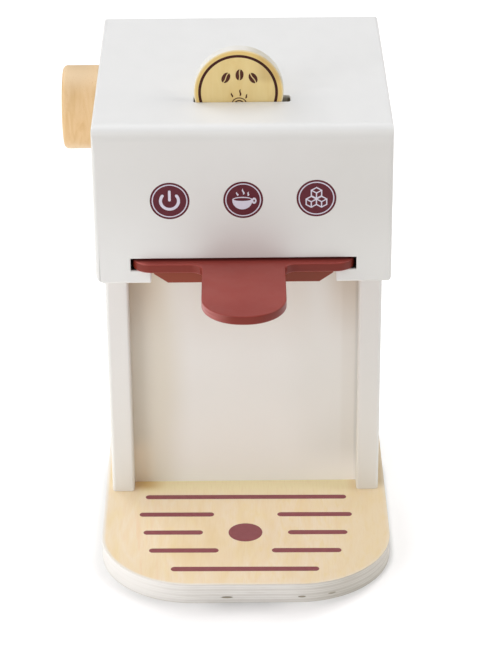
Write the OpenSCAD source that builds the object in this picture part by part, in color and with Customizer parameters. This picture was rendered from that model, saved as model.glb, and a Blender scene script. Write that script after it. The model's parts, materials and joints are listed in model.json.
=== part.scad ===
// Toy coffee maker: a painted cabinet on a plywood base, with a pull-out tray
// under the head, a turning knob on the left side and a drink coin in the top.
// Millimetres. X runs to the right, Y to the back and Z up, and the origin is
// on the floor under the middle of the base board.

/* [Base board] */
// How far the base board stands out past each side panel
base_lip = 3.1; // [0:0.1:12]
// Depth of the base board, front edge to back edge
base_d = 146; // [138:1:170]
// Thickness of the base board
base_t = 9.1; // [7:0.1:14]
// Radius of the two front corners of the base board
base_front_r = 40.5; // [10:0.5:50]
// Radius of the two back corners of the base board
base_back_r = 3; // [1:0.5:8]

/* [Cabinet] */
// Height from the floor to the top of the head
total_h = 209; // [200:1:235]
// Width over the two side panels
cabinet_w = 119.4; // [116:0.2:130]
// Height of the head, from its underside to its top
head_h = 67.6; // [64:0.1:80]
// Depth of the head, front face to back face
head_d = 126.2; // [120:0.2:136]
// Depth of each leg, front edge to back edge
leg_d = 69; // [62:0.5:76]
// Thickness of the side, front and top boards
board_t = 9.8; // [8.6:0.1:12]
// Thickness of the column panel and the back panel
panel_t = 6; // [4:0.2:8]
// Depth of the grooves in the side panels that hold both of those
groove_d = 3; // [1:0.2:4]
// How far the column panel lies behind the front edges of the legs
column_recess = 8.5; // [3:0.1:14]
// Rounding of the cabinet's upright and upper outer edges
edge_r = 1.6; // [1:0.1:4]
// Rounding of the edge between the top and the front of the head
brow_r = 6; // [2:0.2:7.5]
// Rounding of the lower left outer edge of the head
chin_left_r = 4; // [1:0.1:5]
// Rounding of the lower right outer edge of the head
chin_right_r = 2; // [1:0.1:5]
// Rounding of the small edges that hands reach
small_r = 1.2; // [0.5:0.1:2]

/* [Tray opening] */
// Width of the opening in the front panel that the tray plate runs through
slot_w = 91; // [84:0.2:95]
// How far each ledge reaches in under the edge of the tray plate
ledge_w = 8.05; // [5:0.05:10]
// Height of the ledges, from the underside of the head
ledge_h = 5.8; // [5.8:0.1:9]
// Air above the tray plate
slot_air = 1.2; // [0.5:0.05:2]
// Height of the keeper strips above the tray plate
keeper_h = 6; // [3:0.5:12]
// How far each keeper strip reaches over the tray plate
keeper_reach = 3; // [1:0.5:6]

/* [Tray] */
// Thickness of the tray plate
tray_t = 3.8; // [3:0.1:5.5]
// How far the tray plate stands out of the front panel
tray_out = 3; // [1:0.1:8]
// Radius of the front corners of the tray plate
tray_r = 8; // [3:0.5:12]
// Radius of the back corners of the tray plate
tray_back_r = 2; // [0.5:0.5:6]
// Width of the tongue that pulls the tray
tongue_w = 33.4; // [24:0.2:44]
// Length of the tongue in front of the tray plate
tongue_l = 46.4; // [30:0.2:60]
// Radius of the two corners at the tongue's tip
tongue_r = 16; // [4:0.5:16]
// Radius of the hollow where the tongue meets the tray plate
root_r = 4.5; // [0.5:0.1:6]
// Height of the guide bar under the tray plate
bar_h = 5.8; // [3.5:0.1:5.8]
// Width of the sloped lower edges of the guide bar
bevel_w = 5.7; // [2:0.1:8]
// Height of the sloped lower edges of the guide bar
bevel_h = 4; // [1.5:0.1:5]
// Side play of the tray plate in the opening
tray_play = 0.5; // [0.3:0.1:1.2]
// Side play of the guide bar between the ledges
bar_play = 1.1; // [0.4:0.1:2]
// Play between the tray plate and the ledges under it
slide_gap = 0.2; // [0.1:0.05:0.4]
// Play between the pushed-in tray and the column panel behind it
stop_gap = 0.5; // [0.3:0.1:3]

/* [Coin] */
// Diameter of the coin
coin_d = 36; // [30:0.2:40]
// Thickness of the coin
coin_t = 5.4; // [4:0.1:7]
// Rounding of the coin's rim
coin_edge_r = 0.5; // [0.2:0.1:1.2]
// How deep the coin stands in the top of the head
coin_depth = 13.9; // [12.6:0.1:17]
// How far the coin stands left of the middle of its slot
coin_aside = 1.3; // [0:0.1:1.4]
// Distance from the front of the head to the middle of the coin slot
coin_slot_back = 30.7; // [24:0.1:40]
// Room in the slot at each end of the coin
coin_end_gap = 1.5; // [1.5:0.1:3]
// Room in the slot in front of the coin
coin_front_gap = 0.3; // [0.3:0.05:1]
// Room in the slot behind the coin
coin_back_gap = 1.3; // [0.4:0.05:2]
// Radius of the slot's four corners
coin_slot_r = 1.4; // [0.5:0.1:2]
// Wood around the coin slot in the cradle under the top
cradle_wall = 7; // [4:0.5:10]
// Wood under the coin in the cradle
cradle_floor = 5; // [3:0.5:10]
// Play between the coin and the cradle's floor
coin_rest_gap = 0.15; // [0.1:0.05:0.4]

/* [Knob] */
// Diameter of the knob
knob_d = 35.8; // [26:0.2:40]
// Thickness of the knob
knob_t = 15.8; // [12:0.2:22]
// Rounding of the knob's outer edge
knob_r = 2; // [0.5:0.1:4]
// Rounding of the knob's edge next to the cabinet
knob_inner_r = 0.8; // [0.3:0.1:2]
// Distance from the back of the cabinet to the knob's axis
knob_from_back = 33.8; // [26:0.2:42]
// Distance from the top of the head down to the knob's axis
knob_from_top = 27.9; // [21:0.1:34]
// Diameter of the knob's axle
axle_d = 8; // [6:0.5:10]
// Radial play of the axle in the side panel
axle_play = 0.08; // [0.04:0.01:0.1]
// Depth of the axle's hole in the knob
axle_seat = 11; // [8:0.5:11.5]
// Thickness of the washer between the knob and the cabinet
washer_t = 0.7; // [0.5:0.1:2]
// Diameter of the washer
washer_d = 18; // [14:0.5:22]
// Thickness of the collar that holds the axle from inside
collar_t = 8; // [5:0.5:12]
// Diameter of the collar
collar_d = 16; // [13:0.5:22]
// Play between the turning pieces and the side panel, on each side of it
turn_gap = 0.3; // [0.2:0.05:0.6]

/* [Fastenings] */
// Diameter of the screws that hold the base board
screw_d = 3.5; // [3:0.1:4.5]
// Length of the base screws
screw_l = 30; // [20:1:45]
// Diameter of the screw heads
screw_head_d = 7; // [6:0.1:8]
// Depth of the cross recess in the screw heads
recess_depth = 1.2; // [0.6:0.1:1.6]
// Width of the arms of the cross recess
recess_w = 0.9; // [0.6:0.1:1.2]
// Room around the screws in the base board
screw_room = 0.2; // [0.1:0.05:0.5]
// Distance from the front and back of each leg to its screws
screw_inset = 18; // [16:0.5:24]
// Diameter of the dowels
dowel_d = 6; // [4:0.2:7]
// Length of the dowels
dowel_l = 16; // [12:0.5:24]
// How deep the dowels sit in the top and front boards
dowel_seat = 6; // [4:0.2:7]
// Room at each end of a dowel
dowel_room = 0.5; // [0.2:0.1:1]
// Distance from the ends of a joint to its dowels
dowel_inset = 18; // [15:0.5:24]

/* [Hidden] */
$fn = 96;
over = 1;                                      // how far a cutter runs past a face

paint = [0.87, 0.86, 0.83];
birch = [0.90, 0.81, 0.66];
beech = [0.87, 0.71, 0.53];
terracotta = [0.60, 0.30, 0.27];
coin_yellow = [0.84, 0.75, 0.53];
steel = [0.72, 0.73, 0.75];
nylon = [0.88, 0.87, 0.84];

base_w = cabinet_w + 2 * base_lip;
back_y = base_d / 2;                           // back of the base and the cabinet
head_front_y = back_y - head_d;
leg_front_y = back_y - leg_d;
column_y = leg_front_y + column_recess;        // front face of the column panel
head_z = total_h - head_h;                     // underside of the head
top_z = total_h - board_t;                     // underside of the top panel
inner_w = cabinet_w - 2 * board_t;             // between the side panels
board_x = (cabinet_w - board_t) / 2;           // middle of a side panel
front_back_y = head_front_y + board_t;         // back face of the front panel

ledge_z = head_z + ledge_h;                    // top of the ledges and rails
plate_z = ledge_z + slide_gap;                 // underside of the tray plate
slot_top_z = plate_z + tray_t + slot_air;
gap_w = slot_w - 2 * ledge_w;                  // between the ledges
flange_w = slot_w - 2 * tray_play;
bar_w = gap_w - 2 * bar_play;
tray_front_y = head_front_y - tray_out;
tray_back_y = column_y - stop_gap;

coin_slot_y = head_front_y + coin_slot_back;
coin_slot_l = coin_d + 2 * coin_end_gap;
coin_slot_w = coin_t + coin_front_gap + coin_back_gap;
coin_front_y = coin_slot_y - coin_slot_w / 2 + coin_front_gap;
coin_z = total_h - coin_depth + coin_d / 2;    // middle of the coin
coin_seat_z = total_h - coin_depth - coin_rest_gap;

knob_y = back_y - knob_from_back;
knob_z = total_h - knob_from_top;
washer_x = -cabinet_w / 2 - turn_gap;          // washer face next to the cabinet
knob_x = washer_x - washer_t;                  // knob face next to the washer
collar_x = -inner_w / 2 + turn_gap;            // collar face next to the panel
axle_d_hole = axle_d + 2 * axle_play;

screw_cone_h = (screw_head_d - screw_d) / 2;   // ninety-degree head
screw_tip_h = 1.5 * screw_d;

// A rectangle from the origin whose corners are rounded one by one, in the
// order low-low, high-low, high-high, low-high.
module soft_rect(size, radii) {
    corners = [[0, 0], [size.x, 0], size, [0, size.y]];
    difference() {
        square(size);
        for (i = [0:3]) if (radii[i] > 0)
            translate(corners[i]) rotate(90 * i) corner_bite(radii[i]);
    }
}

// What a round-over takes off a corner that has its wood in +X and +Y.
module corner_bite(r) {
    difference() {
        translate([-over, -over]) square(r + over);
        translate([r, r]) circle(r);
    }
}

// A box from the origin whose edges along each axis are rounded as the three
// corner lists say: an X edge by its (Y, Z) corner, a Y edge by its (X, Z)
// corner and a Z edge by its (X, Y) corner.
module soft_block(size, along_x = [0, 0, 0, 0], along_y = [0, 0, 0, 0],
                  along_z = [0, 0, 0, 0]) {
    intersection() {
        rotate([90, 0, 90]) linear_extrude(size.x)
            soft_rect([size.y, size.z], along_x);
        translate([0, size.y, 0]) rotate([90, 0, 0]) linear_extrude(size.y)
            soft_rect([size.x, size.z], along_y);
        linear_extrude(size.z) soft_rect([size.x, size.y], along_z);
    }
}

// A turned disc whose axis is +Z, with its lower and upper rims rounded.
module soft_disc(d, h, lower_r, upper_r) {
    rotate_extrude() soft_rect([d / 2, h], [0, lower_r, upper_r, 0]);
}

module both_sides() {
    children();
    mirror([1, 0, 0]) children();
}

// Where the base screws stand, with their heads down.
module at_base_screws() {
    both_sides() for (y = [leg_front_y + screw_inset, back_y - screw_inset])
        translate([board_x, y, 0]) children();
}

// Where the dowels between the side panels and the top stand, at the joint.
module at_top_dowels() {
    both_sides() for (y = [front_back_y + dowel_inset, back_y - dowel_inset])
        translate([board_x, y, top_z]) children();
}

// Where the dowels between the side panels and the front lie, at the joint,
// with +Z towards the front.
module at_front_dowels() {
    both_sides() for (z = [head_z + dowel_inset, top_z - dowel_inset])
        translate([board_x, front_back_y, z]) rotate([90, 0, 0]) children();
}

// A dowel through a joint at z = 0, with its short end in +Z.
module dowel(room) {
    translate([0, 0, dowel_seat - dowel_l - room])
        cylinder(d = dowel_d, h = dowel_l + 2 * room);
}

// A countersunk screw that points up, head first from z = 0.
module screw_body(room) {
    rotate_extrude() polygon([
        [0, 0], [screw_head_d / 2 + room, 0],
        [screw_d / 2 + room, screw_cone_h],
        [screw_d / 2 + room, screw_l - screw_tip_h],
        [0, screw_l]
    ]);
}

module base_board() color(birch)
    difference() {
        translate([-base_w / 2, -base_d / 2, 0]) linear_extrude(base_t)
            soft_rect([base_w, base_d],
                      [base_front_r, base_front_r, base_back_r, base_back_r]);
        at_base_screws() screw_body(screw_room);
    }

// The column panel and the back panel as flat boards in their grooves.
module grooved_board(y)
    translate([-inner_w / 2 - groove_d, y, base_t])
        cube([inner_w + 2 * groove_d, panel_t, top_z - base_t]);

module column_panel() color(paint) grooved_board(column_y);

module back_panel() color(paint) grooved_board(back_y - panel_t);

// The right side panel: a leg over the full height, and the side of the head
// that stands out in front of it.
module side_board(chin_r) difference() {
    union() {
        translate([inner_w / 2, leg_front_y, base_t])
            soft_block([board_t, leg_d, top_z - base_t],
                       along_z = [small_r, edge_r, edge_r, 0]);
        translate([inner_w / 2, front_back_y, head_z])
            soft_block([board_t, head_d - board_t - leg_d / 2, top_z - head_z],
                       along_y = [0, chin_r, 0, 0]);
    }
    grooved_board(column_y);
    grooved_board(back_y - panel_t);
    at_base_screws() screw_body(0);
    at_top_dowels() dowel(dowel_room);
    at_front_dowels() dowel(dowel_room);
}

module right_side_panel() color(paint) side_board(chin_right_r);

module left_side_panel() color(paint)
    difference() {
        mirror([1, 0, 0]) side_board(chin_left_r);
        translate([-cabinet_w / 2 - over, knob_y, knob_z]) rotate([0, 90, 0])
            cylinder(d = axle_d_hole, h = board_t + 2 * over);
    }

// The T-shaped cut lets the tray plate run over the ledges and its guide bar
// run between them.
module front_panel() color(paint)
    difference() {
        translate([-cabinet_w / 2, head_front_y, head_z])
            soft_block([cabinet_w, board_t, top_z - head_z],
                       along_x = [small_r, 0, 0, 0],
                       along_y = [chin_left_r, chin_right_r, 0, 0],
                       along_z = [edge_r, edge_r, 0, 0]);
        translate([-slot_w / 2, head_front_y - over, ledge_z])
            cube([slot_w, board_t + 2 * over, slot_top_z - ledge_z]);
        translate([-gap_w / 2, head_front_y - over, head_z - over])
            cube([gap_w, board_t + 2 * over, ledge_h + 2 * over]);
        at_front_dowels() dowel(dowel_room);
    }

// The coin's slot, with round corners, from the cradle's floor up through the top.
module coin_slot_cut()
    translate([-coin_slot_l / 2, coin_slot_y - coin_slot_w / 2, coin_seat_z])
        linear_extrude(total_h - coin_seat_z + over)
            soft_rect([coin_slot_l, coin_slot_w], [for (i = [0:3]) coin_slot_r]);

module top_panel() color(paint)
    difference() {
        translate([-cabinet_w / 2, head_front_y, top_z])
            soft_block([cabinet_w, head_d, board_t],
                       along_x = [0, 0, edge_r, brow_r],
                       along_y = [0, 0, edge_r, edge_r],
                       along_z = [edge_r, edge_r, edge_r, edge_r]);
        coin_slot_cut();
        at_top_dowels() dowel(dowel_room);
    }

// The block under the top that the coin stands in.
module coin_cradle() color(birch)
    difference() {
        translate([-coin_slot_l / 2 - cradle_wall,
                   coin_slot_y - coin_slot_w / 2 - cradle_wall,
                   coin_seat_z - cradle_floor])
            cube([coin_slot_l + 2 * cradle_wall, coin_slot_w + 2 * cradle_wall,
                  top_z - coin_seat_z + cradle_floor]);
        coin_slot_cut();
    }

// The rails carry the ledges of the front panel on to the column panel.
module tray_rail() color(birch)
    translate([gap_w / 2, front_back_y, head_z])
        cube([(inner_w - gap_w) / 2, column_y - front_back_y, ledge_h]);

module right_tray_rail() tray_rail();

module left_tray_rail() mirror([1, 0, 0]) tray_rail();

// The keepers stop the tray from tipping when it is pulled out.
module tray_keeper() color(birch)
    translate([flange_w / 2 - keeper_reach, front_back_y, slot_top_z])
        cube([inner_w / 2 - flange_w / 2 + keeper_reach,
              column_y - front_back_y, keeper_h]);

module right_tray_keeper() tray_keeper();

module left_tray_keeper() mirror([1, 0, 0]) tray_keeper();

module tray_outline() {
    translate([-flange_w / 2, tray_front_y])
        soft_rect([flange_w, tray_back_y - tray_front_y],
                  [tray_r, tray_r, tray_back_r, tray_back_r]);
    translate([-tongue_w / 2, tray_front_y - tongue_l])
        soft_rect([tongue_w, tongue_l + tray_r], [tongue_r, tongue_r, 0, 0]);
    difference() {
        translate([-tongue_w / 2 - root_r, tray_front_y - root_r])
            square([tongue_w + 2 * root_r, root_r + tray_r]);
        both_sides() translate([tongue_w / 2 + root_r, tray_front_y - root_r])
            circle(root_r);
    }
}

module tray_plate() color(terracotta)
    translate([0, 0, plate_z]) linear_extrude(tray_t) tray_outline();

// The bar under the plate, with sloped lower edges.
module tray_bar() color(terracotta)
    translate([0, tray_back_y, plate_z - bar_h]) rotate([90, 0, 0])
        linear_extrude(tray_back_y - head_front_y) polygon([
            [-bar_w / 2 + bevel_w, 0], [bar_w / 2 - bevel_w, 0],
            [bar_w / 2, bevel_h], [bar_w / 2, bar_h],
            [-bar_w / 2, bar_h], [-bar_w / 2, bevel_h]
        ]);

module coin() color(coin_yellow)
    translate([-coin_aside, coin_front_y + coin_t, coin_z]) rotate([90, 0, 0])
        soft_disc(coin_d, coin_t, coin_edge_r, coin_edge_r);

// The pieces on the knob's axis are drawn with +Z away from the cabinet.
module on_knob_axis(x)
    translate([x, knob_y, knob_z]) rotate([0, -90, 0]) children();

module knob() color(beech)
    on_knob_axis(knob_x) difference() {
        soft_disc(knob_d, knob_t, knob_inner_r, knob_r);
        translate([0, 0, -over]) cylinder(d = axle_d, h = axle_seat + over);
    }

module knob_axle() color(beech)
    on_knob_axis(collar_x + collar_t)
        cylinder(d = axle_d, h = collar_x + collar_t - knob_x + axle_seat);

module ring(d, h) difference() {
    cylinder(d = d, h = h);
    translate([0, 0, -over]) cylinder(d = axle_d, h = h + 2 * over);
}

module knob_washer() color(nylon)
    on_knob_axis(washer_x) ring(washer_d, washer_t);

module axle_collar() color(beech)
    on_knob_axis(collar_x + collar_t) ring(collar_d, collar_t);

module base_screws() color(steel)
    at_base_screws() difference() {
        screw_body(0);
        for (turn = [0, 90]) rotate(turn)
            translate([-screw_d / 2, -recess_w / 2, -over])
                cube([screw_d, recess_w, recess_depth + over]);
    }

module top_dowels() color(beech) at_top_dowels() dowel(0);

module front_dowels() color(beech) at_front_dowels() dowel(0);

base_board();
left_side_panel();
right_side_panel();
column_panel();
back_panel();
front_panel();
top_panel();
left_tray_rail();
right_tray_rail();
left_tray_keeper();
right_tray_keeper();
tray_plate();
tray_bar();
coin();
coin_cradle();
knob();
knob_axle();
knob_washer();
axle_collar();
base_screws();
top_dowels();
front_dowels();
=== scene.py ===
# Toy coffee maker: the finish of its painted cabinet, plywood base, tray, coin
# and knob, with their printed marks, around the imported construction. Sizes and
# places are in mm where nothing else is said.
import json
import math

import bmesh
import bpy
from mathutils import Matrix, Vector

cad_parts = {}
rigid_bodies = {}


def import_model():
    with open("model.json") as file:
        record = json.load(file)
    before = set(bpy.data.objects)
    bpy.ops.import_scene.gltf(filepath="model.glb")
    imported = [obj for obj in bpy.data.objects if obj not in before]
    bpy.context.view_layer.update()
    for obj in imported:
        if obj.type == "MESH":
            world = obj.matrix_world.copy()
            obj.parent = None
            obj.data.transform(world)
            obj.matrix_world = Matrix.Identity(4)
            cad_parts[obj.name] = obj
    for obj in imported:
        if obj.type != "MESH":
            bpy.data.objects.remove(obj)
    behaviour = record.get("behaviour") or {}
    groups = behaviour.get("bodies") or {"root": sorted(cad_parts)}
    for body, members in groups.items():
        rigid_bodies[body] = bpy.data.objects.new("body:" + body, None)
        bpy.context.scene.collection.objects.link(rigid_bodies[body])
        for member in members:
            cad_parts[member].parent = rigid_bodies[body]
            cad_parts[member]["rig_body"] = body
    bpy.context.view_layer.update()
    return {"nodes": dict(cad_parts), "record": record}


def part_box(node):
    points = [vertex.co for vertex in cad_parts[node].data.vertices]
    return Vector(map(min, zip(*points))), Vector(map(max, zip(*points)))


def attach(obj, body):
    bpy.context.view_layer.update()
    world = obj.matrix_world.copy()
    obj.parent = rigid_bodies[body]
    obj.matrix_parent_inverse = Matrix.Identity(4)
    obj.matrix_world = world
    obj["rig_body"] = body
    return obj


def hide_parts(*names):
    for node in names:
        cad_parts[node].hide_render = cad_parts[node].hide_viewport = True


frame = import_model()

MM = 0.001                       # one mm in the frame's metres


def box_mm(node):
    """A node's lowest and highest corners at rest, in mm."""
    low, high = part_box(node)
    return low / MM, high / MM


_, base_high = box_mm("base_board")
side_low, side_high = box_mm("left_side_panel")
face_low, face_high = box_mm("front_panel")      # the front of the head
_, top_high = box_mm("top_panel")
tray_low, tray_high = box_mm("tray_plate")
coin_low, coin_high = box_mm("coin")
coin_middle = (coin_low + coin_high) / 2

BASE_R = 40.5                    # radius of the base's front corners
PLY = base_high.z / 7            # thickness of one ply
# Open spots in the front edge of the base: middle, height, length, thickness
# and how dark each is.
EDGE_GAPS = ((-8.3, 2.7, 5.0, 0.9, 1.0), (23.5, 2.7, 3.4, 0.9, 0.9), (36.3, 2.8, 3.4, 0.9, 0.7))
GAP_DEPTH = 0.4

SMOOTH_UP_TO = 38                # degrees between two faces that are shaded as one
EASED_FROM = 40                  # degrees between two faces whose outer edge is eased

RING_IN, RING_OUT = 14.84, 16.06                 # radii of the coin's printed ring
RING_OFF = (-0.25, 0, -0.15)     # how far the ring is printed off the coin's middle

INK_T = 0.05                     # thickness of a printed layer
MARK_R = 7.93                    # a mark on the head: its disc,
MARK_RING_R, MARK_RING_W = 6.9, 0.46             # the open ring in it
MARK_GROUND_R = 7.5              # and the pale ground under both
POWER_AT = (-29.2, 177.95)       # X and Z of the middle of each mark
CUP_AT = (0.08, 178.15)
ICE_AT = (29.23, 178.6)
GRID_AT = (-0.2, -31.7)          # X and Y of the drip grid's dot
GRID_TURN = -0.73                # in degrees
GRID_BAR_W, GRID_DOT_R = 3.4, 7.4
# The drip grid's rows: Y from the dot, and where the bars on either side start
# and end. A row that starts at 0 is one long bar.
GRID_ROWS = ((29.8, 0, 44.9), (14.95, 14.0, 47.0), (0, 18.6, 44.6), (-14.6, 11.5, 41.6),
             (-29.3, 0, 31.7))
MOTIF_RISE = 0.17                # how far the coin's motif sits above its middle

CAMERA_AT = Vector((-1.10348, -941.75512, 579.14785))
PITCH, YAW, ROLL = 0.48060, 0.00304, -0.00819    # down, right and over, in radians
FOCAL_LENGTH, FRAME_TALL = 2446.877, 669         # in pixels
SENSOR = 36
SHIFT = (0.002774, 0.006187)     # in shares of the frame's height
CLIP = (0.05, 20)                # in metres

FLOOR_SIZE = 6                   # in metres from the middle to an edge
FLOOR_GLOW = 0.26                # glow of the white floor past the contact shadow
WORLD_GLOW = 0.30
LAMP_FAR = 2.2                   # from each lamp to its aim, in metres
LAMP_AIM = Vector((0, 0, 0.1))   # in metres
# Lamps: name, degrees round from the front (right is positive), degrees up,
# diameter in metres and power in watts.
LAMPS = (("window", -90, 40, 1.3, 11), ("right", 90, 38, 1.3, 16), ("low_left", -45, 10, 1.1, 11),
         ("front_left", -45, 30, 1.3, 5), ("front", 0, 40, 1.3, 4),
         ("low_right", 135, 12, 0.7, 6), ("back_left", -135, 36, 1.3, 11),
         ("back", 180, 68, 1.3, 9))


# ------------------------------------------------------------- materials ----

class Finish:
    """A material whose patterns follow the piece's own coordinates, in mm. A
    share runs from 0 to 1 and says how far a colour or a tint shows."""

    def __init__(self, name, roughness, **constants):
        self.material = bpy.data.materials.new(name)
        self.material.use_nodes = True
        self.nodes = self.material.node_tree.nodes
        self.links = self.material.node_tree.links
        self.shader = self.nodes["Principled BSDF"]
        self.shader.inputs["Roughness"].default_value = roughness
        for socket, value in constants.items():
            self.shader.inputs[socket.replace("_", " ")].default_value = value
        place = self.nodes.new("ShaderNodeTexCoord")
        self.place = self.vector("SCALE", place.outputs["Object"], scale=1 / MM)
        self.x, self.y, self.z = (self.axis(self.place, letter) for letter in "XYZ")
        self.height = None

    def feed(self, socket, value):
        """Gives a socket another node's output, a number or a colour."""
        if isinstance(value, bpy.types.NodeSocket):
            self.links.new(value, socket)
        elif isinstance(value, tuple) and len(value) == 3 and len(socket.default_value) == 4:
            socket.default_value = (*value, 1)
        else:
            socket.default_value = value

    def vector(self, operation, a, b=None, scale=None):
        node = self.nodes.new("ShaderNodeVectorMath")
        node.operation = operation
        self.feed(node.inputs[0], a)
        if b is not None:
            self.feed(node.inputs[1], b)
        if scale is not None:
            node.inputs["Scale"].default_value = scale
        return node.outputs["Value" if operation == "LENGTH" else "Vector"]

    def calc(self, operation, *values):
        node = self.nodes.new("ShaderNodeMath")
        node.operation = operation
        for socket, value in zip(node.inputs, values):
            self.feed(socket, value)
        return node.outputs[0]

    def axis(self, source, letter):
        node = self.nodes.new("ShaderNodeSeparateXYZ")
        self.links.new(source, node.inputs[0])
        return node.outputs[letter]

    def facing(self, letter):
        """How far the surface faces up or down one axis, from 0 to 1."""
        node = self.nodes.new("ShaderNodeTexCoord")
        return self.calc("ABSOLUTE", self.axis(node.outputs["Normal"], letter))

    def cloud(self, size, detail=2, twist=0.0, offset=(0, 0, 0), roughness=0.5):
        """Noise whose blots are about size mm: one number, or X, Y and Z."""
        sizes = size if isinstance(size, tuple) else (size, size, size)
        mapping = self.nodes.new("ShaderNodeMapping")
        mapping.inputs["Scale"].default_value = [1 / s for s in sizes]
        mapping.inputs["Location"].default_value = offset
        self.links.new(self.place, mapping.inputs["Vector"])
        node = self.nodes.new("ShaderNodeTexNoise")
        node.inputs["Scale"].default_value = 1
        node.inputs["Detail"].default_value = detail
        node.inputs["Roughness"].default_value = roughness
        node.inputs["Distortion"].default_value = twist
        self.links.new(mapping.outputs[0], node.inputs["Vector"])
        return node.outputs["Fac"]

    def step(self, value, low, high, to_low=0.0, to_high=1.0):
        """Goes softly from to_low at low to to_high at high, where low may also
        be the larger of the two."""
        node = self.nodes.new("ShaderNodeMapRange")
        node.interpolation_type = "SMOOTHSTEP"
        for name, number in (("From Min", low), ("From Max", high),
                             ("To Min", to_low), ("To Max", to_high)):
            self.feed(node.inputs[name], number)
        self.feed(node.inputs["Value"], value)
        return node.outputs[0]

    def share(self, *values):
        """The product of several shares."""
        total = values[0]
        for value in values[1:]:
            total = self.calc("MULTIPLY", total, value)
        return total

    def between(self, value, low, high, soft):
        """1 between low and high, with a soft edge inside each."""
        return self.share(self.step(value, low, low + soft), self.step(value, high, high - soft))

    def ramp(self, value, *stops):
        node = self.nodes.new("ShaderNodeValToRGB")
        points = node.color_ramp.elements
        while len(points) < len(stops):
            points.new(0.5)
        for point, (at, colour) in zip(points, stops):
            point.position = at
            point.color = (*colour, 1)
        self.feed(node.inputs[0], value)
        return node.outputs["Color"]

    def patchy(self, blots, low, high):
        """A colour that drifts between two with the blots of a cloud."""
        return self.ramp(blots, (0.3, low), (0.7, high))

    def uneven(self, blots, low, high):
        """A roughness that drifts between two with the blots of a cloud."""
        return self.step(blots, 0.3, 0.7, low, high)

    def blend(self, share, under, over, how="MIX"):
        node = self.nodes.new("ShaderNodeMix")
        node.data_type = "RGBA"
        node.blend_type = how
        self.feed(node.inputs[0], share)
        self.feed(node.inputs[6], under)
        self.feed(node.inputs[7], over)
        return node.outputs[2]

    def tint(self, share, colour, tint):
        """A colour, darkened by a tint as far as its share says."""
        return self.blend(share, colour, tint, "MULTIPLY")

    def past_base(self):
        """How far a place lies outside the base board's outline."""
        straight = (base_high.x - BASE_R, base_high.y - BASE_R, 0)
        flat = self.vector("MULTIPLY", self.vector("ABSOLUTE", self.place), (1, 1, 0))
        corner = self.vector("MAXIMUM", self.vector("SUBTRACT", flat, straight), (0, 0, 0))
        return self.calc("SUBTRACT", self.vector("LENGTH", corner), BASE_R)

    def raise_by(self, value, mm):
        """Adds a relief of that height."""
        part = self.calc("MULTIPLY", value, mm)
        self.height = part if self.height is None else self.calc("ADD", self.height, part)

    def done(self, colour, roughness=None):
        self.feed(self.shader.inputs["Base Color"], colour)
        if roughness is not None:
            self.feed(self.shader.inputs["Roughness"], roughness)
        if self.height is not None:
            node = self.nodes.new("ShaderNodeBump")
            node.inputs["Distance"].default_value = MM
            node.inputs["Strength"].default_value = 1
            self.links.new(self.height, node.inputs["Height"])
            self.links.new(node.outputs[0], self.shader.inputs["Normal"])
        return self.material


def cabinet_paint():
    """Satin off-white paint on smooth board, with painted light and shade: a
    painted lighter, greyer top, painted light that is lighter and warmer down the
    legs, and painted shade on the head's front and to the right. The walls of the
    slots for the coin and the tray are painted dark as shade."""
    paint = Finish("cabinet_paint", 0.42)
    x, y, z = paint.x, paint.y, paint.z
    aside = paint.calc("ABSOLUTE", x)
    colour = paint.patchy(paint.cloud((38, 30, 45), 3), (0.772, 0.757, 0.732),
                          (0.795, 0.781, 0.758))
    # painted shade: a little darker on the upper part of the head's front
    front = paint.share(paint.step(y, face_low.y + 1.2, face_low.y + 0.2),
                        paint.step(z, 150, 185))
    colour = paint.tint(front, colour, (0.960, 0.955, 0.950))
    # painted light: lighter and greyer where the top faces up
    top = paint.share(paint.step(z, 198, 204), paint.step(paint.facing("Z"), 0.5, 0.9, 0, 0.85))
    colour = paint.blend(top, colour, (0.812, 0.812, 0.812))
    # painted light: lighter and warmer down the legs
    legs = paint.step(z, 95, 15)
    colour = paint.blend(legs, colour, (0.820, 0.803, 0.762))
    # painted shade: a little darker towards the right
    right = paint.share(paint.step(x, 5, 52), paint.step(z, 206, 200))
    colour = paint.tint(right, colour, (0.945, 0.940, 0.930))
    # painted shade: the walls inside the coin's slot are painted dark
    rim = top_high.z - 0.4
    painted_coin_slot_shade = paint.share(paint.between(y, coin_low.y - 0.4, coin_high.y + 1.4, 0.2),
                            paint.step(z, rim, rim - 1.2), paint.step(aside, 21, 20.5))
    colour = paint.blend(painted_coin_slot_shade, colour, (0.165, 0.140, 0.095))
    # painted shade: the walls inside the tray's slot are painted nearly black
    painted_tray_slot_shade = paint.share(paint.step(y, face_low.y + 0.3, face_low.y + 1.3),
                            paint.step(y, face_high.y + 0.3, face_high.y + 0.1),
                            paint.between(z, tray_low.z - 0.35, tray_high.z + 1.35, 0.1),
                            paint.step(aside, 46, 45.7))
    colour = paint.blend(painted_tray_slot_shade, colour, (0.030, 0.022, 0.018))
    paint.raise_by(paint.cloud(1.3), 0.012)
    paint.raise_by(paint.cloud(9, 1), 0.03)
    return paint.done(colour, paint.uneven(paint.cloud(6), 0.38, 0.5))


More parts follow.
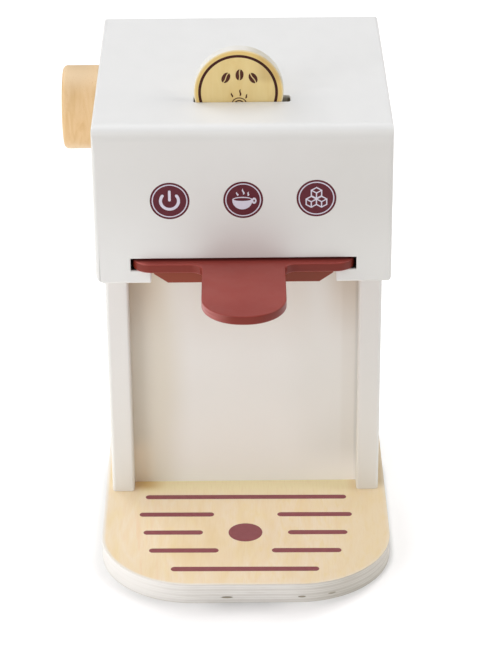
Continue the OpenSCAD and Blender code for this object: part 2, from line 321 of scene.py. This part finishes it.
def column_paint_with_painted_shade():
    """The same paint on the sheltered column, with painted light and shade: painted
    warm shade towards its upper corners and its left edge, painted shade under the
    head, behind the tongue, towards the right and beside the right side panel, and
    painted light towards its foot."""
    paint = Finish("column_paint_with_painted_shade", 0.45)
    x, z = paint.x, paint.z
    colour = paint.patchy(paint.cloud((38, 30, 45), 3), (0.815, 0.800, 0.772),
                          (0.835, 0.820, 0.795))
    # painted shadow of the tongue on the column
    painted_tongue_shadow = paint.share(paint.step(z, 68, 108), paint.step(x, -33, -20),
                                paint.step(x, 38, 22))
    # painted warm shade towards the left edge, painted shade towards the right
    left, right = paint.step(x, -22, -37), paint.step(x, 10, 34)
    # painted shade beside the right side panel
    painted_panel_shade = paint.share(paint.step(x, 42, 44), paint.step(z, 60, 100, 0.7, 1.0))
    # painted contact shade along the joint with the right side panel
    painted_joint_shade = paint.step(x, 48.4, 49.4)
    # painted shadow under the head
    painted_head_shadow = paint.step(z, 95, 132)
    # painted warm shade in the upper corners
    painted_upper_corner_shade = paint.share(paint.step(paint.calc("ABSOLUTE", x), 30, 44),
                                paint.step(z, 75, 115))
    # each tint below is painted shade
    for share, tint in ((painted_tongue_shadow, (0.93, 0.90, 0.86)), (left, (0.90, 0.86, 0.775)),
                        (right, (0.965, 0.965, 0.955)), (painted_panel_shade, (0.95, 0.94, 0.925)),
                        (painted_joint_shade, (0.88, 0.90, 0.91)), (painted_head_shadow, (0.915, 0.915, 0.910)),
                        (painted_upper_corner_shade, (0.82, 0.74, 0.66))):
        colour = paint.tint(share, colour, tint)
    # painted light: lighter towards the foot, warmer at the left and paler at the right
    low = paint.share(paint.step(z, 62, 12), paint.step(x, -44, -20), paint.step(x, 44, 16))
    low_left = paint.share(paint.step(z, 36, 22), paint.step(x, -38, -47))
    low_right = paint.share(paint.step(z, 30, 8), paint.step(x, 12, 34))
    for share, lit in ((low, (0.905, 0.890, 0.872)), (low_left, (0.870, 0.770, 0.630)),
                       (low_right, (0.960, 0.940, 0.915))):
        colour = paint.blend(share, colour, lit)
    paint.raise_by(paint.cloud(1.3), 0.012)
    return paint.done(colour, paint.uneven(paint.cloud(6), 0.40, 0.52))


def face_veneer(ply, figure, fibres):
    """Figured birch, with painted light and shade: a browner painted shadow in the
    corner and on the strip that the legs shade, painted shade towards the right,
    painted light along the column's foot, and a greyer rim that is paler on the
    left as painted light."""
    x, y = ply.x, ply.y
    veneer = ply.ramp(figure, (0.30, (0.870, 0.690, 0.405)), (0.45, (0.915, 0.755, 0.510)),
                      (0.58, (0.930, 0.790, 0.585)), (0.72, (0.905, 0.730, 0.460)))
    growth = ply.cloud((34, 150, 30), 2, 0.7, (1.3, 0.2, 0))
    ring = ply.calc("PINGPONG", ply.calc("MULTIPLY", growth, 5.5), 0.5)
    flame = ply.cloud((4, 55, 30), 2, 1.0, (0.4, 0.1, 0))
    fleck = ply.cloud((5, 24, 30), 2, 0.8, (2.1, 0.6, 0))
    speck = ply.cloud((2.0, 8, 30), 2, 0.5, (0.7, 1.9, 0))
    rings = ply.step(ring, 0.16, 0.0, 0, 0.20)
    flames = ply.share(ply.step(flame, 0.55, 0.70, 0, 0.5), ply.step(x, -30, -48))
    flecks = ply.step(fleck, 0.50, 0.72, 0, 0.35)
    specks = ply.share(ply.step(speck, 0.52, 0.68), ply.step(x, -25, 25, 0.15, 0.45))
    # painted shade towards the right
    right = ply.step(x, 28, 56, 0, 0.5)
    # painted light along the column's foot
    foot = ply.share(ply.step(y, -4, 8), ply.step(ply.calc("ABSOLUTE", x), 50, 44))
    for share, wood in ((rings, (0.86, 0.64, 0.36)), (flames, (0.905, 0.655, 0.415)),
                        (flecks, (0.905, 0.740, 0.400)), (specks, (0.890, 0.715, 0.370)),
                        (right, (0.86, 0.695, 0.42)), (foot, (0.965, 0.855, 0.530))):
        veneer = ply.blend(share, veneer, wood)
    # painted shadow in the corner by the left side panel's foot
    painted_foot_corner_shadow = ply.share(ply.step(y, 3, 9), ply.step(x, -34, -45), ply.step(x, -57, -55))
    veneer = ply.tint(painted_foot_corner_shadow, veneer, (0.76, 0.62, 0.43))
    # painted shadow on the strip beside the right side panel
    painted_strip_shadow = ply.share(ply.step(x, 58.5, 59.7), ply.step(y, 2, 12))
    veneer = ply.tint(painted_strip_shadow, veneer, (0.70, 0.66, 0.61))
    veneer = ply.blend(ply.step(fibres, 0.46, 0.72, 0, 0.18), veneer, (0.80, 0.59, 0.34))
    # the rim's own paler colour, shown more on the left as painted light
    rim = ply.share(ply.step(ply.past_base(), -1.9, -0.3), ply.step(x, 20, -35, 0.25, 0.85))
    return ply.blend(rim, veneer, (0.900, 0.870, 0.835))


def edge_plies(ply, wave, glue):
    """Whitewashed plies that turn their grain, with glue lines and open spots
    between them."""
    x, z = ply.x, ply.z
    cross = ply.step(ply.calc("PINGPONG", wave, PLY), PLY * 0.42, PLY * 0.58)
    streaks = ply.step(ply.cloud((9, 9, 0.45), 3), 0.45, 0.75, 0, 0.4)
    # the plies, streaks and glue lines fade towards the left, leaving the edge paler there as
    # painted light
    shows = ply.step(x, -52, -8, 0.15, 1.0)
    edge = ply.blend(ply.share(cross, shows), (0.850, 0.820, 0.780), (0.770, 0.735, 0.690))
    edge = ply.blend(ply.share(streaks, shows), edge, (0.66, 0.61, 0.55))
    edge = ply.blend(ply.share(glue, shows, 0.5), edge, (0.55, 0.51, 0.46))
    # painted shade towards the right and along the foot of the edge
    edge = ply.tint(ply.step(x, 12, 44), edge, (0.775, 0.760, 0.720))
    edge = ply.tint(ply.step(z, 0.45, 0.1), edge, (0.80, 0.77, 0.73))
    front = ply.step(ply.y, -30, -31)
    for middle, height, long, tall, dark in EDGE_GAPS:
        across = ply.calc("DIVIDE", ply.calc("SUBTRACT", x, middle), long / 2)
        upward = ply.calc("DIVIDE", ply.calc("SUBTRACT", z, height), tall / 2)
        far = ply.calc("ADD", ply.calc("MULTIPLY", across, across),
                       ply.calc("MULTIPLY", upward, upward))
        gap = ply.share(ply.step(far, 1.25, 0.5, 0, dark), front)
        edge = ply.blend(gap, edge, (0.330, 0.285, 0.205))
        ply.raise_by(gap, -GAP_DEPTH)
    return edge


def birch_ply():
    """Birch plywood: a figured face veneer, and a whitewashed edge of plies."""
    ply = Finish("birch_ply", 0.5)
    figure = ply.cloud((17, 60, 30), 3, 1.2)
    fibres = ply.cloud((0.6, 9, 1), 3, roughness=0.6)
    wave = ply.calc("ADD", ply.z, ply.calc("MULTIPLY", ply.cloud((60, 60, 40), 1), 0.35))
    glue = ply.step(ply.calc("PINGPONG", wave, PLY / 2), 0.17, 0.05)
    veneer, edge = face_veneer(ply, figure, fibres), edge_plies(ply, wave, glue)
    level = ply.step(ply.facing("Z"), 0.35, 0.75)
    ply.raise_by(ply.share(fibres, level), 0.03)
    ply.raise_by(ply.share(glue, ply.calc("SUBTRACT", 1.0, level)), -0.05)
    return ply.done(ply.blend(level, edge, veneer), ply.uneven(figure, 0.46, 0.58))


def inner_wood():
    """Bare sanded softwood."""
    wood = Finish("inner_wood", 0.7)
    rings = wood.cloud((60, 7, 5), 3, 0.8)
    colour = wood.ramp(rings, (0.3, (0.66, 0.50, 0.30)), (0.55, (0.76, 0.62, 0.42)),
                       (0.75, (0.70, 0.55, 0.34)))
    wood.raise_by(wood.cloud((18, 0.7, 0.7)), 0.03)
    return wood.done(colour)


def tray_paint():
    """Satin terracotta paint, with painted light and shade: darker side faces,
    browner on the bar, darker towards the tongue's tip and to the right, and a
    painted highlight at the plate's front left corner and on the left end of the
    tongue's rim."""
    paint = Finish("tray_paint", 0.38, Specular_IOR_Level=0.3)
    x, y, z = paint.x, paint.y, paint.z
    top = paint.patchy(paint.cloud((20, 26, 14), 3), (0.332, 0.057, 0.046), (0.362, 0.066, 0.053))
    # painted shade towards the tongue's tip
    top = paint.tint(paint.step(y, -84, -99), top, (0.85, 0.77, 0.75))
    # painted highlight at the plate's front left corner
    painted_corner_highlight = paint.share(paint.step(x, -36.5, -42.5), paint.step(y, -51.5, -54.5, 0, 0.6))
    top = paint.blend(painted_corner_highlight, top, (0.630, 0.165, 0.145))
    # the side faces take a darker copy of the paint as painted shade; the bar's is browner
    on_bar = paint.step(z, tray_low.z - 0.1, tray_low.z - 0.2)
    side = paint.blend(on_bar, (0.212, 0.026, 0.015), (0.255, 0.050, 0.0235))
    # painted shade towards the right
    side = paint.tint(paint.step(x, 0, 14), side, (0.85, 0.82, 0.80))
    # painted highlight, in streaks, on the left end of the tongue's rim
    streaks = paint.step(paint.cloud((9, 9, 0.5)), 0.3, 0.6, 0.6, 1.0)
    painted_rim_highlight = paint.share(paint.step(y, -84, -90), paint.step(x, -4, -15), streaks)
    side = paint.blend(painted_rim_highlight, side, (0.440, 0.135, 0.120))
    level = paint.step(paint.facing("Z"), 0.2, 0.75)
    paint.raise_by(paint.cloud(1.1), 0.012)
    return paint.done(paint.blend(level, side, top), paint.uneven(paint.cloud(7), 0.33, 0.44))


def coin_print():
    """Printed yellow faces with a dark ring, and an off-white rim, with a painted
    highlight round the edge of each face and painted shade on the right of both."""
    coin = Finish("coin_print", 0.5, Specular_IOR_Level=0.25)
    grain = coin.cloud((3.5, 8, 22), 3, 0.6)
    from_middle = coin.vector("SUBTRACT", coin.place, tuple(coin_middle))
    flat = coin.vector("MULTIPLY", from_middle, (1, 0, 1))
    out = coin.vector("LENGTH", flat)
    print_out = coin.vector("LENGTH", coin.vector("SUBTRACT", flat, RING_OFF))
    face = coin.patchy(grain, (0.820, 0.610, 0.262), (0.865, 0.680, 0.325))
    face = coin.blend(coin.step(print_out, 15.7, 16.4, 0, 0.75), face, (0.830, 0.570, 0.190))
    # painted highlight round the face's edge
    face = coin.blend(coin.step(out, 17.0, 17.7, 0, 0.8), face, (0.90, 0.78, 0.50))
    ring = coin.between(print_out, RING_IN, RING_OUT, 0.08)
    face = coin.blend(ring, face, (0.055, 0.010, 0.006))
    side = coin.axis(flat, "X")
    # painted shade on the face's upper right
    painted_face_shade = coin.share(coin.step(side, 5, 10.5), coin.step(coin.z, 216, 219.5))
    face = coin.tint(painted_face_shade, face, (0.83, 0.79, 0.75))
    rim = coin.patchy(coin.cloud(5), (0.76, 0.74, 0.69), (0.82, 0.80, 0.76))
    # painted shade on the rim's right
    rim = coin.tint(coin.step(side, 0, 9), rim, (0.86, 0.83, 0.75))
    level = coin.step(coin.facing("Y"), 0.55, 0.8)
    coin.raise_by(grain, 0.015)
    return coin.done(coin.blend(level, rim, face))


def beech():
    """Fine sanded, oiled beech with the grain across the turning axis, and a painted highlight
    where it faces up.
    """
    wood = Finish("beech", 0.5)
    bands = wood.cloud((3.2, 40, 14), 3, 0.9)
    colour = wood.ramp(bands, (0.3, (0.680, 0.425, 0.190)), (0.5, (0.745, 0.500, 0.250)),
                       (0.7, (0.785, 0.550, 0.305)))
    # painted highlight: paler where the knob faces up
    colour = wood.blend(wood.step(wood.facing("Z"), 0.55, 0.95), colour, (0.795, 0.585, 0.355))
    flecks = wood.cloud((0.35, 2.6, 0.5))
    colour = wood.blend(wood.step(flecks, 0.62, 0.74, 0, 0.5), colour, (0.60, 0.36, 0.17))
    wood.raise_by(flecks, 0.02)
    return wood.done(colour, wood.uneven(bands, 0.44, 0.56))


def nylon():
    """Plain nylon."""
    plastic = Finish("nylon", 0.5, Subsurface_Weight=0.1)
    plastic.raise_by(plastic.cloud(0.6), 0.01)
    return plastic.done(plastic.patchy(plastic.cloud(3), (0.76, 0.75, 0.71), (0.80, 0.79, 0.76)))


def steel():
    """Zinc-plated steel."""
    metal = Finish("steel", 0.3, Metallic=1.0)
    metal.raise_by(metal.cloud(0.3), 0.01)
    blots = metal.cloud(1.5)
    return metal.done(metal.patchy(blots, (0.58, 0.59, 0.60), (0.68, 0.68, 0.67)),
                      metal.uneven(blots, 0.25, 0.4))


def ink(name, thick, thin, roughness=0.45, sheen=0.5):
    """Printed ink, a little uneven."""
    mark = Finish(name, roughness, Specular_IOR_Level=sheen)
    mark.raise_by(mark.cloud(0.5), 0.006)
    return mark.done(mark.patchy(mark.cloud(2.2, 3), thick, thin))


def white_paper():
    """The floor: white paper with a soft painted contact shadow, brighter further out."""
    paper = Finish("white_paper", 0.9)
    x, y = paper.x, paper.y
    aside = paper.calc("ABSOLUTE", x)
    middle = paper.share(paper.step(y, -38, -73), paper.step(aside, 64, 12))
    wide = paper.calc("ADD", paper.calc("MULTIPLY", middle, 21), paper.step(x, 0, -40, 3, 9))
    away = paper.calc("DIVIDE", paper.past_base(), wide)
    # painted contact shadow: darker paper round the base, where the glow also fades
    shade = paper.share(paper.step(away, 0.5, 0), paper.step(aside, 24, 6, 0.2, 1))
    glow = paper.share(paper.step(away, 0.1, 1.0, 0, FLOOR_GLOW), paper.step(y, -420, -180),
                       paper.step(aside, 500, 250))
    paper.shader.inputs["Emission Color"].default_value = (1, 1, 1, 1)
    paper.feed(paper.shader.inputs["Emission Strength"], glow)
    return paper.done(paper.blend(shade, (0.93, 0.93, 0.93), (0.70, 0.70, 0.70)))


# -------------------------------------------------- pieces from the frame ----

def piece_from(mesh, name, body, material):
    piece = bpy.data.objects.new(name, mesh)
    bpy.context.scene.collection.objects.link(piece)
    mesh.materials.clear()
    mesh.materials.append(material)
    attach(piece, body)
    return piece


def settle_normals(piece):
    """Smooth shading that keeps flat faces flat, stored in the mesh."""
    sharp = math.radians(SMOOTH_UP_TO)
    bm = bmesh.new()
    bm.from_mesh(piece.data)
    for face in bm.faces:
        face.smooth = True
    for edge in bm.edges:
        edge.smooth = len(edge.link_faces) == 2 and edge.calc_face_angle() < sharp
    bm.to_mesh(piece.data)
    bm.free()
    weigh = piece.modifiers.new("weigh", "WEIGHTED_NORMAL")
    weigh.keep_sharp = True
    weigh.weight = 100
    bpy.context.view_layer.update()
    made = bpy.data.meshes.new_from_object(
        piece.evaluated_get(bpy.context.evaluated_depsgraph_get()))
    piece.modifiers.remove(weigh)
    piece.data = made
    made.name = piece.name


def finished(node, slot, ease=0.0, joined=lambda p: False):
    """A copy of a CAD node in its finish, its outer edges eased by ease mm
    except where it is joined to another board, which stands for the node."""
    source = frame["nodes"][node]
    bm = bmesh.new()
    bm.from_mesh(source.data)
    bmesh.ops.remove_doubles(bm, verts=bm.verts, dist=0.002 * MM)
    bmesh.ops.dissolve_limit(bm, angle_limit=math.radians(0.4), verts=bm.verts,
                             edges=bm.edges)
    if ease:
        edges = [e for e in bm.edges if len(e.link_faces) == 2 and e.is_convex
                 and e.calc_face_angle() > math.radians(EASED_FROM)
                 and not all(joined(v.co / MM) for v in e.verts)]
        bmesh.ops.bevel(bm, geom=edges, affect="EDGES", offset=ease * MM,
                        offset_type="OFFSET", segments=3, profile=0.5,
                        material=-1, clamp_overlap=True)
    mesh = bpy.data.meshes.new(node + "_finished")
    bm.to_mesh(mesh)
    bm.free()
    piece = piece_from(mesh, node + "_finished", source["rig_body"], finishes[slot])
    settle_normals(piece)
    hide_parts(node)
    return piece


def near(value, target):
    return abs(value - target) < 0.02


def on_joined_side(p):
    """Where a side panel meets the top, the front or, above its foot, what
    stands between the two side panels."""
    foot_z = side_low.z + 2.4
    inner_x = -side_high.x
    return (near(p.z, face_high.z) or near(p.y, face_high.y)
            or near(abs(p.x), inner_x) and p.z > foot_z)


def finish_pieces():
    """Every outer piece with its edges eased as on the real one."""
    finished("base_board", "birch_ply", 1.0, lambda p: near(p.z, 0))
    for side in ("left_side_panel", "right_side_panel"):
        finished(side, "cabinet_paint", 0.7, on_joined_side)
    finished("front_panel", "cabinet_paint", 0.45,
             lambda p: near(p.z, face_high.z) or near(p.y, face_high.y))
    finished("top_panel", "cabinet_paint", 0.4, lambda p: near(p.z, face_high.z))
    finished("tray_plate", "tray_paint", 0.6)
    finished("tray_bar", "tray_paint", 0.4)
    finished("coin", "coin_print")
    finished("knob", "beech")


# ------------------------------------------------------ shapes of a print ----

def disc(bm, at, radius, squash=1.0, segments=64):
    """A flat disc, or an ellipse where squash isn't 1."""
    place = Matrix.Translation((*at, 0)) @ Matrix.Diagonal((1, squash, 1, 1))
    made = bmesh.ops.create_circle(bm, cap_ends=True, radius=radius,
                                   segments=segments, matrix=place)
    return made["verts"]


def bar(bm, start, end, width, segments=24):
    """A flat stroke with round ends: a disc pulled out to a length."""
    start, end = Vector(start), Vector(end)
    along = end - start
    verts = bmesh.ops.create_circle(bm, cap_ends=True, radius=width / 2,
                                    segments=segments)["verts"]
    bmesh.ops.translate(bm, verts=[v for v in verts if v.co.x > 1e-6],
                        vec=(along.length, 0, 0))
    turn = Matrix.Rotation(math.atan2(along.y, along.x), 4, "Z")
    bmesh.ops.transform(bm, verts=verts,
                        matrix=Matrix.Translation((*start, 0)) @ turn)


def arc(bm, at, radius, width, first=0.0, last=360.0, squash=1.0, steps=72):
    """A flat band round a centre; angles are in degrees from +X."""
    a = bm.verts.new((radius - width / 2, 0, 0))
    b = bm.verts.new((radius + width / 2, 0, 0))
    edge = bm.edges.new((a, b))
    bmesh.ops.rotate(bm, verts=[a, b], cent=(0, 0, 0),
                     matrix=Matrix.Rotation(math.radians(first), 3, "Z"))
    whole = last - first >= 360
    before = set(bm.verts) - {a, b}
    bmesh.ops.spin(bm, geom=[a, b, edge], cent=(0, 0, 0), axis=(0, 0, 1),
                   angle=math.radians(last - first), steps=steps, use_merge=whole)
    verts = [v for v in bm.verts if v not in before]
    if squash != 1.0:
        bmesh.ops.scale(bm, verts=verts, vec=(1, squash, 1))
    bmesh.ops.translate(bm, verts=verts, vec=(*at, 0))
    if not whole:
        for angle in (first, last):
            turned = math.radians(angle)
            disc(bm, (at[0] + radius * math.cos(turned), at[1] + radius * math.sin(turned)),
                 width / 2, segments=24)


def wisp(bm, start, end, width, sway):
    """A wavy stroke of steam, thick below and thin above."""
    start, end = Vector(start), Vector(end)
    along = end - start
    verts = disc(bm, (0, 0), along.length / 2, squash=width / along.length, segments=32)
    for v in verts:
        share = v.co.x / along.length
        v.co.y = v.co.y * (1 - 0.7 * share) + sway * math.sin(share * 2 * math.pi)
    turn = Matrix.Rotation(math.atan2(along.y, along.x), 4, "Z")
    middle = (start + end) / 2
    bmesh.ops.transform(bm, verts=verts, matrix=Matrix.Translation((*middle, 0)) @ turn)


def draw_power(bm):
    """A ring that is open above, with a short stroke in the opening."""
    arc(bm, (-0.05, 0), 3.58, 1.22, -218, 38)
    bar(bm, (-0.05, 0.35), (-0.05, 4.05), 1.10)


def draw_cup(bm):
    """A steaming cup with its handle on the right."""
    rim_y = -0.15
    bowl = disc(bm, (-0.35, rim_y), 4.0)
    for v in bowl:
        v.co.y = min(v.co.y, rim_y)
    disc(bm, (-0.35, 0.1), 4.0, squash=0.31)
    arc(bm, (4.35, -0.4), 0.66, 0.62, squash=1.4, steps=32)
    wisp(bm, (-2.2, 1.75), (-2.6, 3.5), 0.66, 0.16)
    wisp(bm, (0.1, 2.3), (-0.1, 4.9), 0.66, 0.24)
    wisp(bm, (1.85, 1.75), (2.2, 3.5), 0.66, 0.16)


def draw_coffee(bm):
    """The coffee that shows in the cup."""
    disc(bm, (-0.3, 0.2), 3.45, squash=0.19)


def draw_ice(bm):
    """Three ice cubes in a heap, each as the outline of a cube seen on its corner."""
    tip, turn = math.radians(35.26 - 90), math.radians(45)
    on_corner = Matrix.Rotation(tip, 3, "X") @ Matrix.Rotation(turn, 3, "Z")
    for at in ((0, 2.25), (-2.05, -1.55), (2.05, -1.55)):
        cube = bmesh.new()
        bmesh.ops.create_cube(cube, size=2.9)
        bmesh.ops.transform(cube, verts=cube.verts, matrix=on_corner.to_4x4())
        for edge in cube.edges:
            if any(f.normal.z > 0.1 for f in edge.link_faces):
                ends = [Vector((at[0] + v.co.x, at[1] + v.co.y)) for v in edge.verts]
                bar(bm, ends[0], ends[1], 0.52, 16)
        cube.free()


def draw_bean(bm, at, turn):
    """A coffee bean as two halves with a bare, wavy furrow between them."""
    gap, sway, bend = 0.20, 0.16, 1.35
    for side in (-1, 1):
        half = disc(bm, (0, 0), 2.35, squash=0.68, segments=40)
        for v in half:
            furrow = gap + sway * math.sin(v.co.x * bend) * side
            v.co.y = side * max(side * v.co.y, furrow)
        place = Matrix.Translation((*at, 0)) @ Matrix.Rotation(math.radians(turn), 4, "Z")
        bmesh.ops.transform(bm, verts=half, matrix=place)


def draw_motif(bm):
    """Three coffee beans over the steam and rim of a cup."""
    draw_bean(bm, (-5.1, 6.0), 62)
    draw_bean(bm, (0.4, 7.2), 84)
    draw_bean(bm, (5.8, 5.8), 118)
    wisp(bm, (-2.5, -2.4), (-3.0, -0.4), 0.62, 0.10)
    wisp(bm, (0.45, -1.9), (0.75, 1.1), 0.62, 0.22)
    wisp(bm, (2.75, -2.9), (3.4, -1.0), 0.62, 0.10)
    arc(bm, (0.15, -5.1), 2.85, 0.42, 0, 180, squash=0.85, steps=32)
    arc(bm, (0.15, -5.2), 1.65, 0.55, 0, 180, squash=0.85, steps=32)


def draw_grid(bm):
    """The printed drip grid on the base: rows of bars round a dot."""
    tip = GRID_BAR_W / 2
    for y, start, end in GRID_ROWS:
        if start:
            for side in (-1, 1):
                bar(bm, (side * (start + tip), y), (side * (end - tip), y), GRID_BAR_W)
        else:
            bar(bm, (tip - end, y), (end - tip, y), GRID_BAR_W)
    disc(bm, (0, 0), GRID_DOT_R)


# ---------------------------------------------------------------- prints ----

def layer(draw, low, high):
    """A solid from flat shapes, from low to high above the printed face."""
    bm = bmesh.new()
    draw(bm)
    bmesh.ops.recalc_face_normals(bm, faces=bm.faces)
    for face in bm.faces:
        if face.normal.z < 0:
            face.normal_flip()
    bmesh.ops.translate(bm, verts=bm.verts, vec=(0, 0, low))
    top = bmesh.ops.extrude_face_region(bm, geom=bm.faces[:])["geom"]
    bmesh.ops.translate(bm, verts=[v for v in top if isinstance(v, bmesh.types.BMVert)],
                        vec=(0, 0, high - low))
    bmesh.ops.recalc_face_normals(bm, faces=bm.faces)
    mesh = bpy.data.meshes.new("layer")
    bm.to_mesh(mesh)
    bm.free()
    return mesh


def cut_out(mesh, cutter):
    """What a solid keeps of itself outside a cutter that may overlap itself."""
    solids = [bpy.data.objects.new("solid", m) for m in (mesh, cutter)]
    for solid in solids:
        bpy.context.scene.collection.objects.link(solid)
    cut = solids[0].modifiers.new("cut", "BOOLEAN")
    cut.operation = "DIFFERENCE"
    cut.solver = "EXACT"
    cut.use_self = True
    cut.object = solids[1]
    bpy.context.view_layer.update()
    made = bpy.data.meshes.new_from_object(
        solids[0].evaluated_get(bpy.context.evaluated_depsgraph_get()))
    for solid in solids:
        bpy.data.objects.remove(solid)
    return made


def on_face(mesh, place, name, body, material):
    """Puts a print drawn in mm on its face."""
    mesh.transform(place @ Matrix.Diagonal((MM, MM, MM, 1)))
    mesh.name = name
    return piece_from(mesh, name, body, material)


def front_face(x, y, z):
    """The frame of a print on a face that looks to the front: X to the right
    and Y upwards, from a point in mm."""
    return Matrix.Translation(Vector((x, y, z)) * MM) @ Matrix.Rotation(math.pi / 2, 4, "X")


def icon(name, at, draw, inner=None):
    """A plum disc on the head over a pale ground, with a ring and a symbol left
    open in it."""
    def open_parts(bm):
        arc(bm, (0, 0), MARK_RING_R, MARK_RING_W)
        draw(bm)
    plate = layer(lambda bm: disc(bm, (0, 0), MARK_R, segments=128), 0, INK_T)
    mesh = cut_out(plate, layer(open_parts, -1, 1))
    if inner:
        bm = bmesh.new()
        bm.from_mesh(mesh)
        bm.from_mesh(layer(inner, 0, INK_T))
        bm.to_mesh(mesh)
        bm.free()
    place = front_face(at[0], face_low.y, at[1])
    ground = layer(lambda bm: disc(bm, (0, 0), MARK_GROUND_R, segments=96), 0, INK_T / 2)
    on_face(ground, place, name + "_ground", "cabinet", pale_ink)
    on_face(mesh, place, name, "cabinet", icon_ink)


def print_marks():
    """The marks on the head, the drip grid on the base and the coin's motif."""
    icon("power_mark", POWER_AT, draw_power)
    icon("cup_mark", CUP_AT, draw_cup, draw_coffee)
    icon("ice_mark", ICE_AT, draw_ice)
    grid_place = (Matrix.Translation(Vector((*GRID_AT, base_high.z)) * MM)
                  @ Matrix.Rotation(math.radians(GRID_TURN), 4, "Z"))
    on_face(layer(draw_grid, 0, INK_T), grid_place, "drip_grid", "cabinet", base_ink)
    motif_place = front_face(coin_middle.x, coin_low.y, coin_middle.z + MOTIF_RISE)
    on_face(layer(draw_motif, 0, INK_T), motif_place, "coin_motif", "coin", coin_ink)


# ------------------------------------------------------------- the scene ----

def aim_camera():
    """A long lens in front of the toy, looking down at it."""
    ahead = Vector((math.sin(YAW) * math.cos(PITCH),
                    math.cos(YAW) * math.cos(PITCH), -math.sin(PITCH)))
    level = Vector((math.cos(YAW), -math.sin(YAW), 0))
    upward = level.cross(ahead)
    across = math.cos(ROLL) * level + math.sin(ROLL) * upward
    above = math.cos(ROLL) * upward - math.sin(ROLL) * level
    data = bpy.data.cameras.new("camera")
    data.sensor_width = SENSOR
    data.lens = FOCAL_LENGTH * SENSOR / FRAME_TALL
    data.shift_x, data.shift_y = SHIFT
    data.clip_start, data.clip_end = CLIP
    camera = bpy.data.objects.new("camera", data)
    turn = Matrix((across, above, -ahead)).transposed().to_4x4()
    camera.matrix_world = Matrix.Translation(CAMERA_AT * MM) @ turn
    bpy.context.scene.collection.objects.link(camera)
    bpy.context.scene.camera = camera


def lay_floor():
    bm = bmesh.new()
    bmesh.ops.create_grid(bm, x_segments=1, y_segments=1, size=FLOOR_SIZE)
    mesh = bpy.data.meshes.new("floor")
    bm.to_mesh(mesh)
    bm.free()
    floor = bpy.data.objects.new("floor", mesh)
    bpy.context.scene.collection.objects.link(floor)
    mesh.materials.append(white_paper())


def hang_lamp(name, place, size, power):
    data = bpy.data.lights.new(name, "AREA")
    data.shape = "DISK"
    data.size = size
    data.energy = power
    lamp = bpy.data.objects.new(name, data)
    lamp.location = place
    lamp.rotation_euler = (LAMP_AIM - place).to_track_quat("-Z", "Y").to_euler()
    bpy.context.scene.collection.objects.link(lamp)


def light_studio():
    """Soft light from all round, most of it from the left."""
    world = bpy.data.worlds.new("studio")
    world.use_nodes = True
    world.node_tree.nodes["Background"].inputs["Color"].default_value = (1, 1, 1, 1)
    world.node_tree.nodes["Background"].inputs["Strength"].default_value = WORLD_GLOW
    bpy.context.scene.world = world
    for name, side, height, size, power in LAMPS:
        turn, rise = math.radians(side), math.radians(height)
        out = Vector((math.sin(turn) * math.cos(rise), -math.cos(turn) * math.cos(rise),
                      math.sin(rise)))
        hang_lamp(name, LAMP_AIM + out * LAMP_FAR, size, power)
    bpy.context.scene.view_settings.view_transform = "Standard"


aim_camera()
lay_floor()
light_studio()

finishes = {
    "cabinet_paint": cabinet_paint(), "birch_ply": birch_ply(), "inner_wood": inner_wood(),
    "tray_paint": tray_paint(), "coin_print": coin_print(), "beech": beech(),
    "nylon": nylon(), "steel": steel(),
}
icon_ink = ink("icon_ink", (0.110, 0.018, 0.028), (0.123, 0.022, 0.032), sheen=0.2)
base_ink = ink("base_ink", (0.268, 0.078, 0.088), (0.294, 0.088, 0.099), 0.5, 0.25)
coin_ink = ink("coin_ink", (0.075, 0.018, 0.010), (0.095, 0.026, 0.014), sheen=0.25)
pale_ink = ink("pale_ink", (0.66, 0.625, 0.72), (0.70, 0.665, 0.76))

for part in frame["record"]["subparts"]:
    materials = frame["nodes"][part["node"]].data.materials
    materials.clear()
    materials.append(finishes[part["material_slot"]])
frame["nodes"]["column_panel"].data.materials[0] = column_paint_with_painted_shade()

finish_pieces()
print_marks()
